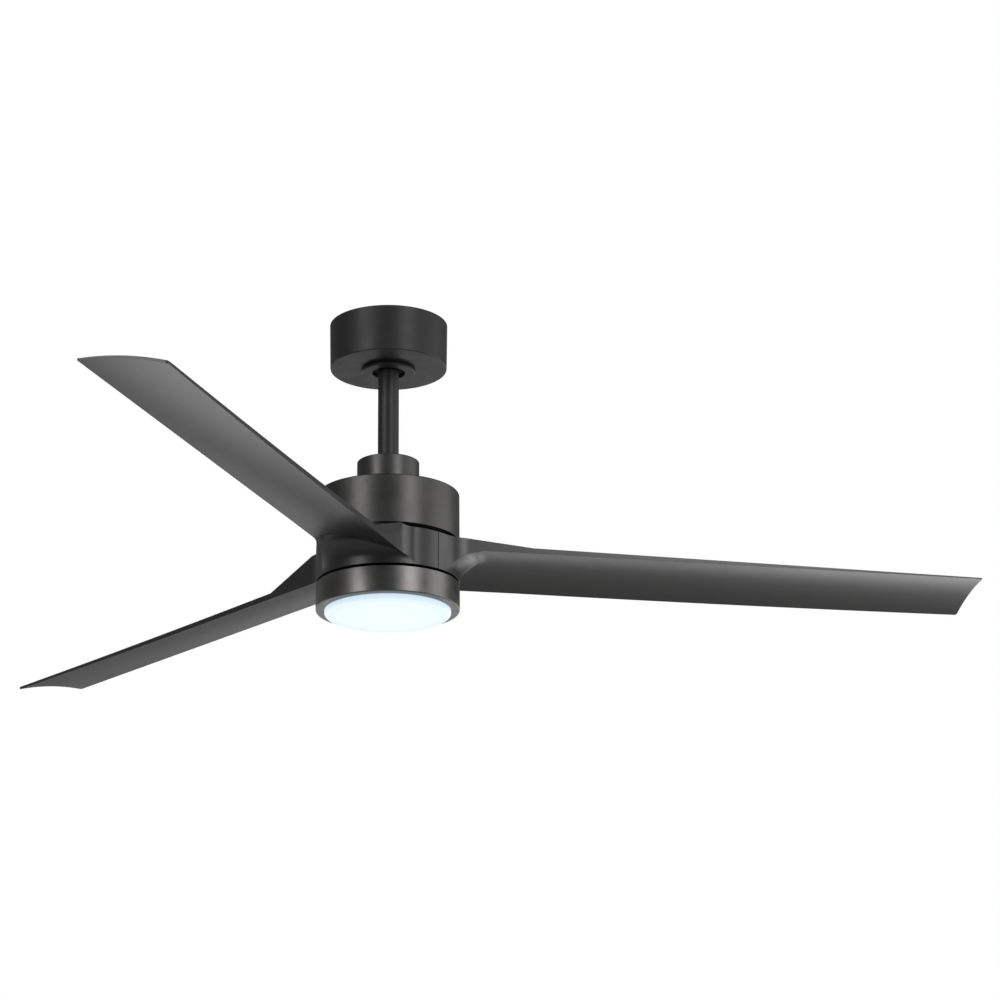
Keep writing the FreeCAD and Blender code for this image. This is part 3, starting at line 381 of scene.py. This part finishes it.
def canopy_trim():
    low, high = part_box("canopy_trim")
    hole = 21 * MM
    wall = 2 * MM
    recess = high.z - 3.2 * MM
    hole_round = 1.1 * MM
    rim_round = 1.3 * MM
    path = rounded_path([
        (hole, high.z), (hole, low.z, hole_round), (high.x, low.z, rim_round), (high.x, high.z),
        (high.x - wall, high.z), (high.x - wall, recess), (hole + wall, recess),
        (hole + wall, high.z)])
    place(lathe("canopy_trim_disc", path), "ceiling_mount", "charcoal_paint", paint, "canopy_trim")


def rod():
    low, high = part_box("downrod")
    bore = high.x - 1.8 * MM
    path = rounded_path([(bore, low.z, EDGE_ROUND), (high.x, low.z, EDGE_ROUND),
                         (high.x, high.z, EDGE_ROUND), (bore, high.z, EDGE_ROUND)], steps=3)
    tube = lathe("hanger_rod", path, ROD_SEGMENTS)
    place(tube, "hanging_motor", "charcoal_paint", paint, "downrod")


def coupling_cover():
    low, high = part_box("coupling_cover")
    rod_hole = 13.85 * MM
    inner = high.x - SHELL_WALL
    shoulder = 1.2 * MM
    foot_round = 0.5 * MM
    path = rounded_path([
        (rod_hole, high.z, EDGE_ROUND), (high.x, high.z, shoulder), (high.x, low.z, foot_round),
        (inner, low.z), (inner, high.z - SHELL_WALL), (rod_hole, high.z - SHELL_WALL)])
    place(lathe("yoke_cover", path), "hanging_motor", "charcoal_satin", satin, "coupling_cover")


def motor_housing():
    low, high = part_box("motor_housing")
    wall = 1.6 * MM
    roof = 2.5 * MM
    hole = 8.6 * MM
    shoulder = 1.6 * MM
    foot_round = 0.6 * MM
    inner_round = 0.3 * MM
    path = rounded_path([
        (hole, high.z), (high.x, high.z, shoulder), (high.x, low.z, foot_round),
        (high.x - wall, low.z, inner_round), (high.x - wall, high.z - roof), (hole, high.z - roof)])
    place(lathe("motor_shell", path), "hanging_motor", "charcoal_satin", satin, "motor_housing")


def light_ring():
    low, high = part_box("light_ring")
    inner = high.x - SHELL_WALL
    hole = 30 * MM
    shoulder = 0.8 * MM
    foot_round = 1.5 * MM
    lip_round = 0.5 * MM
    path = rounded_path([
        (hole, high.z), (high.x, high.z, shoulder), (high.x, low.z, foot_round),
        (LIP_RADIUS, low.z, lip_round), (LIP_RADIUS, low.z + SHELL_WALL), (inner, low.z + SHELL_WALL),
        (inner, high.z - SHELL_WALL), (hole, high.z - SHELL_WALL)])
    place(lathe("light_shell", path), "hanging_motor", "charcoal_satin", ring_satin, "light_ring")


def lens():
    low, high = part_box("lens")
    seat = high.z - LENS_WALL
    rim = low.z + LENS_RISE
    inner = LENS_RADIUS - LENS_WALL
    bulge = -LENS_RISE / 4
    bottom = Vector((0, low.z))
    path = rounded_path([
        (LENS_RADIUS, rim, LENS_CORNER), (LENS_RADIUS, seat), (high.x, seat), (high.x, high.z),
        (inner, high.z), (inner, rim + LENS_WALL), (0, low.z + LENS_WALL), bottom], steps=10)
    path += arc_path(bottom, path[0], bulge, steps=24)
    place(lathe("lens_diffuser", path), "hanging_motor", "opal_lens", lens_lit, "lens")


# ---------------------------------------------------------------- blades

def mix(start, end, t):
    return start + (end - start) * t


def smooth(t):
    t = max(0.0, min(1.0, t))
    return t * t * (3 - 2 * t)


class Blade:
    """The surfaces of blade 1, and the grid of faces that closes them."""

    # how many faces each stretch is split into
    ACROSS = 30
    SWEEP = 20
    ROOT = 14
    STRAIGHT = 48
    CORNER = 4
    LEAD = 8
    TRAIL = 12

    def __init__(self):
        self.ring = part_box("light_ring")[1].x
        blade_low, blade_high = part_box("blade_1")
        self.tip = blade_high.x
        self.top = blade_high.z
        self.foot = blade_low.z
        self.mesh = bmesh.new()
        self.verts = {}

    def edge_heights(self, root, tip, x):
        along = (x - GUSSET_END) / (self.tip - GUSSET_END)
        along = max(0.0, along)
        sag = 4 * LOW_EDGE_SAG * along * (1 - along)
        return mix(root[0], tip[0], along), mix(root[1], tip[1], along) - sag

    def cambered(self, heights, x, y):
        across = (y - HIGH_EDGE) / (LOW_EDGE - HIGH_EDGE)
        along = max(0.0, (x - GUSSET_END) / (self.tip - GUSSET_END))
        return mix(*heights, across) + mix(CAMBER, TIP_CAMBER, along) * (1 - (2 * across - 1) ** 2)

    def top_height(self, x, y):
        flat = self.cambered(self.edge_heights(TOP_ROOT, TOP_TIP, x), x, y)
        if x >= GUSSET_END:
            return flat
        climb = (GUSSET_END - x) / (GUSSET_END - self.ring)
        return min(self.top, mix(flat, self.top, climb))

    def foot_height(self, x, y):
        blade = self.cambered(self.edge_heights(FOOT_ROOT, FOOT_TIP, x), x, y)
        out = math.hypot(x, y) - self.ring
        if out >= SKIRT_SWEEP:
            return blade
        out = max(out, 0.0)
        rise = math.sqrt(SKIRT_SWEEP ** 2 - (SKIRT_SWEEP - out) ** 2)
        return min(blade, self.foot + rise)

    def vert(self, x, y, z):
        key = tuple(round(value, 7) for value in (x, y, z))
        if key not in self.verts:
            self.verts[key] = self.mesh.verts.new((x, y, z))
        return self.verts[key]

    def patch(self, rows):
        """Faces between rows of (x, y, z) points."""
        grid = [[self.vert(*point) for point in row] for row in rows]
        for here, beyond in zip(grid, grid[1:]):
            for number in range(len(here) - 1):
                corners = [here[number], here[number + 1], beyond[number + 1], beyond[number]]
                corners = list(dict.fromkeys(corners))
                if len(corners) > 2:
                    self.mesh.faces.new(corners)

    def edge_line(self, edge, sweep):
        """Plan of one edge's sweep off the ring, and how far out the sweep ends."""
        side = math.copysign(1, edge)
        centre = Vector((math.sqrt((self.ring + sweep) ** 2 - (abs(edge) + sweep) ** 2),
                         side * (abs(edge) + sweep)))
        on_ring = centre * (self.ring / (self.ring + sweep))
        start = math.atan2(*(on_ring - centre).yx)
        end = -side * math.pi / 2
        turn = (end - start + math.pi) % (2 * math.pi) - math.pi
        angles = [start + turn * step / self.SWEEP for step in range(self.SWEEP + 1)]
        return [centre + sweep * Vector((math.cos(a), math.sin(a))) for a in angles], centre.x

    def straight_part(self, edge, start_x):
        """The rest of an edge: straight along, then round the tip's corner."""
        side = math.copysign(1, edge)
        corner_start = self.tip - TIP_CORNER
        root = [mix(start_x, GUSSET_END, step / self.ROOT) for step in range(1, self.ROOT)]
        beyond = [mix(GUSSET_END, corner_start, step / self.STRAIGHT)
                  for step in range(self.STRAIGHT + 1)]
        line = [Vector((x, edge)) for x in root + beyond]
        for step in range(1, self.CORNER + 1):
            angle = math.pi / 2 * step / self.CORNER
            line.append(Vector((corner_start + TIP_CORNER * math.sin(angle),
                                edge - side * TIP_CORNER * (1 - math.cos(angle)))))
        return line

    def rows(self):
        """Plan points of every row from the ring's arc out to the tip, and the arc's two angles."""
        across = self.ACROSS
        lines = []
        for edge, sweep in ((HIGH_EDGE, HIGH_SWEEP), (LOW_EDGE, LOW_SWEEP)):
            swept, start_x = self.edge_line(edge, sweep)
            lines.append(swept + self.straight_part(edge, start_x))
        highs, lows = lines
        first = math.atan2(*highs[0].yx)
        last = math.atan2(*lows[0].yx)
        arc = [self.ring * Vector((math.cos(mix(first, last, step / across)),
                                   math.sin(mix(first, last, step / across))))
               for step in range(across + 1)]
        chord = [highs[0].lerp(lows[0], step / across) for step in range(across + 1)]
        rows = []
        for high, low in zip(highs, lows):
            fade = (high.x - highs[0].x) / (GUSSET_END - highs[0].x)
            keep = 1 - smooth(fade)
            rows.append([high.lerp(low, step / across) + (arc[step] - chord[step]) * keep
                         for step in range(across + 1)])
        return rows, first, last

    def build(self, name):
        rows, first, last = self.rows()
        tops = [[(p.x, p.y, self.top_height(p.x, p.y)) for p in row] for row in rows]
        feet = [[(p.x, p.y, self.foot_height(p.x, p.y)) for p in row] for row in rows]
        tops[0] = [(x, y, self.top) for x, y, _ in tops[0]]
        feet[0] = [(x, y, self.foot) for x, y, _ in feet[0]]
        self.patch(tops)
        self.patch(feet)
        self.patch([[row[0] for row in tops], [row[0] for row in feet]])
        self.patch([[row[-1] for row in tops], [row[-1] for row in feet]])
        self.patch([tops[-1], feet[-1]])

        gap = SEAM_GAP / self.ring / 2
        seams = SEAM_LEAD + gap, SEAM_LEAD + math.tau / 3 - gap
        lead = [mix(seams[0], first, step / self.LEAD) for step in range(self.LEAD)]
        trail = [mix(last, seams[1], step / self.TRAIL) for step in range(1, self.TRAIL + 1)]
        middle = [mix(first, last, step / self.ACROSS) for step in range(self.ACROSS + 1)]

        def ring_points(angles, radius, height):
            return [(radius * math.cos(a), radius * math.sin(a), height) for a in angles]

        for angles in (lead + [first], [last] + trail):
            self.patch([ring_points(angles, self.ring, self.top),
                        ring_points(angles, self.ring, self.foot)])
        whole = lead + middle + trail
        inner = self.ring - RING_WALL
        for height in (self.top, self.foot):
            self.patch([ring_points(whole, self.ring, height), ring_points(whole, inner, height)])
        self.patch([ring_points(whole, inner, self.top), ring_points(whole, inner, self.foot)])
        for angle in seams:
            self.patch([ring_points([angle], radius, self.top)
                        + ring_points([angle], radius, self.foot)
                        for radius in (inner, self.ring)])
        self.web(whole, inner)
        bmesh.ops.recalc_face_normals(self.mesh, faces=self.mesh.faces)
        mesh = bpy.data.meshes.new(name)
        self.mesh.to_mesh(mesh)
        self.mesh.free()
        return mesh

    def web(self, angles, inner):
        """The bolting plate inside the ring."""
        top = self.top - WEB_DROP
        foot = top - WEB_THICKNESS
        inset = inner - WEB_CLEARANCE
        section = [(inset, top), (inset, foot), (WEB_BORE, foot), (WEB_BORE, top), (inset, top)]
        self.patch([[(radius * math.cos(a), radius * math.sin(a), height) for a in angles]
                    for radius, height in section])
        for angle in (angles[0], angles[-1]):
            self.patch([[(radius * math.cos(angle), radius * math.sin(angle), height)
                         for height in (top, foot)] for radius in (WEB_BORE, inset)])


def blades():
    mesh = Blade().build("fan_blade")
    for number in range(3):
        piece = link(f"fan_blade_{number + 1}", mesh.copy())
        piece.data.transform(Matrix.Rotation(math.tau * number / 3, 4, "Z"))
        soften(piece, bevel=BLADE_BEVEL)
        place(piece, "rotor", "blade_plastic", moulded, f"blade_{number + 1}")


# ---------------------------------------------------------------- stage, lights and camera

YAW = math.radians(11.488)
PITCH = math.radians(18.432)
ROLL = math.radians(-0.508)
CAMERA_PLACE = Vector((-0.5775, -3.5473, -1.4320))
SENSOR_WIDTH = 36
FOCAL_LENGTH = 108.47
HUB = Vector((0, 0, -0.33))
WORLD_FILL = 0.14


def stage():
    floor_height = -2.5
    half = 3.0
    mesh = bpy.data.meshes.new("floor")
    mesh.from_pydata([(-half, -half, floor_height), (half, -half, floor_height),
                      (half, half, floor_height), (-half, half, floor_height)], [],
                     [(0, 1, 2, 3)])
    floor = link("floor", mesh)
    floor.data.materials.append(coat("pale_floor", (0.80, 0.80, 0.79), 0.9, mottle=0.02,
                                     grain=60, depth=0.1 * MM, specular=0.1))


def around(azimuth, reach, height):
    """A point round the fan's axis; azimuth 0 is on the camera's side, + is to its right."""
    angle = math.radians(azimuth) - YAW
    return Vector((reach * math.sin(angle), -reach * math.cos(angle), height))


def panel(name, place_at, size, radiance):
    """A soft box that faces the hub; its power follows from its area and its radiance."""
    light = bpy.data.lights.new(name, "AREA")
    light.shape = "RECTANGLE"
    light.size, light.size_y = size
    light.energy = math.pi * size[0] * size[1] * radiance
    lamp = link(name, light)
    lamp.location = place_at
    lamp.rotation_euler = (HUB - place_at).to_track_quat("-Z", "Y").to_euler()
    lamp.visible_camera = False


def lights():
    panel("left_box", around(-42, 2.6, 0.42), (0.9, 2.2), 4.4)
    panel("right_box", around(38, 2.6, 0.42), (0.9, 2.2), 4.6)
    panel("side_box", around(94, 2.8, -0.25), (2.6, 2.2), 2.1)
    panel("rear_left", around(222, 4.2, -1.0), (4.6, 2.8), 0.95)
    panel("rear_right", around(147, 3.8, -0.9), (2.8, 2.2), 1.35)
    panel("rear_low", around(170, 4.0, -1.85), (3.0, 1.0), 1.3)


def surroundings():
    """White where the camera sees past the fan, and only a dim fill for everything else."""
    world = bpy.data.worlds.new("studio")
    bpy.context.scene.world = world
    world.use_nodes = True
    tree = world.node_tree
    tree.nodes.clear()
    seen = tree.nodes.new("ShaderNodeBackground")
    seen.inputs["Color"].default_value = (1, 1, 1, 1)
    fill = tree.nodes.new("ShaderNodeBackground")
    fill.inputs["Color"].default_value = (1, 1, 1, 1)
    fill.inputs["Strength"].default_value = WORLD_FILL
    path = tree.nodes.new("ShaderNodeLightPath")
    choose = tree.nodes.new("ShaderNodeMixShader")
    output = tree.nodes.new("ShaderNodeOutputWorld")
    tree.links.new(path.outputs["Is Camera Ray"], choose.inputs[0])
    tree.links.new(fill.outputs[0], choose.inputs[1])
    tree.links.new(seen.outputs[0], choose.inputs[2])
    tree.links.new(choose.outputs[0], output.inputs["Surface"])


def camera():
    data = bpy.data.cameras.new("camera")
    data.sensor_width = SENSOR_WIDTH
    data.lens = FOCAL_LENGTH
    data.clip_end = 100
    view = link("camera", data)
    turn = (Matrix.Rotation(-YAW, 4, "Z") @ Matrix.Rotation(math.pi / 2 + PITCH, 4, "X")
            @ Matrix.Rotation(ROLL, 4, "Z"))
    view.matrix_world = Matrix.Translation(CAMERA_PLACE) @ turn
    bpy.context.scene.camera = view


camera()
stage()
lights()
surroundings()
dress_inner_nodes()
canopy()
canopy_trim()
rod()
coupling_cover()
motor_housing()
light_ring()
lens()
blades()
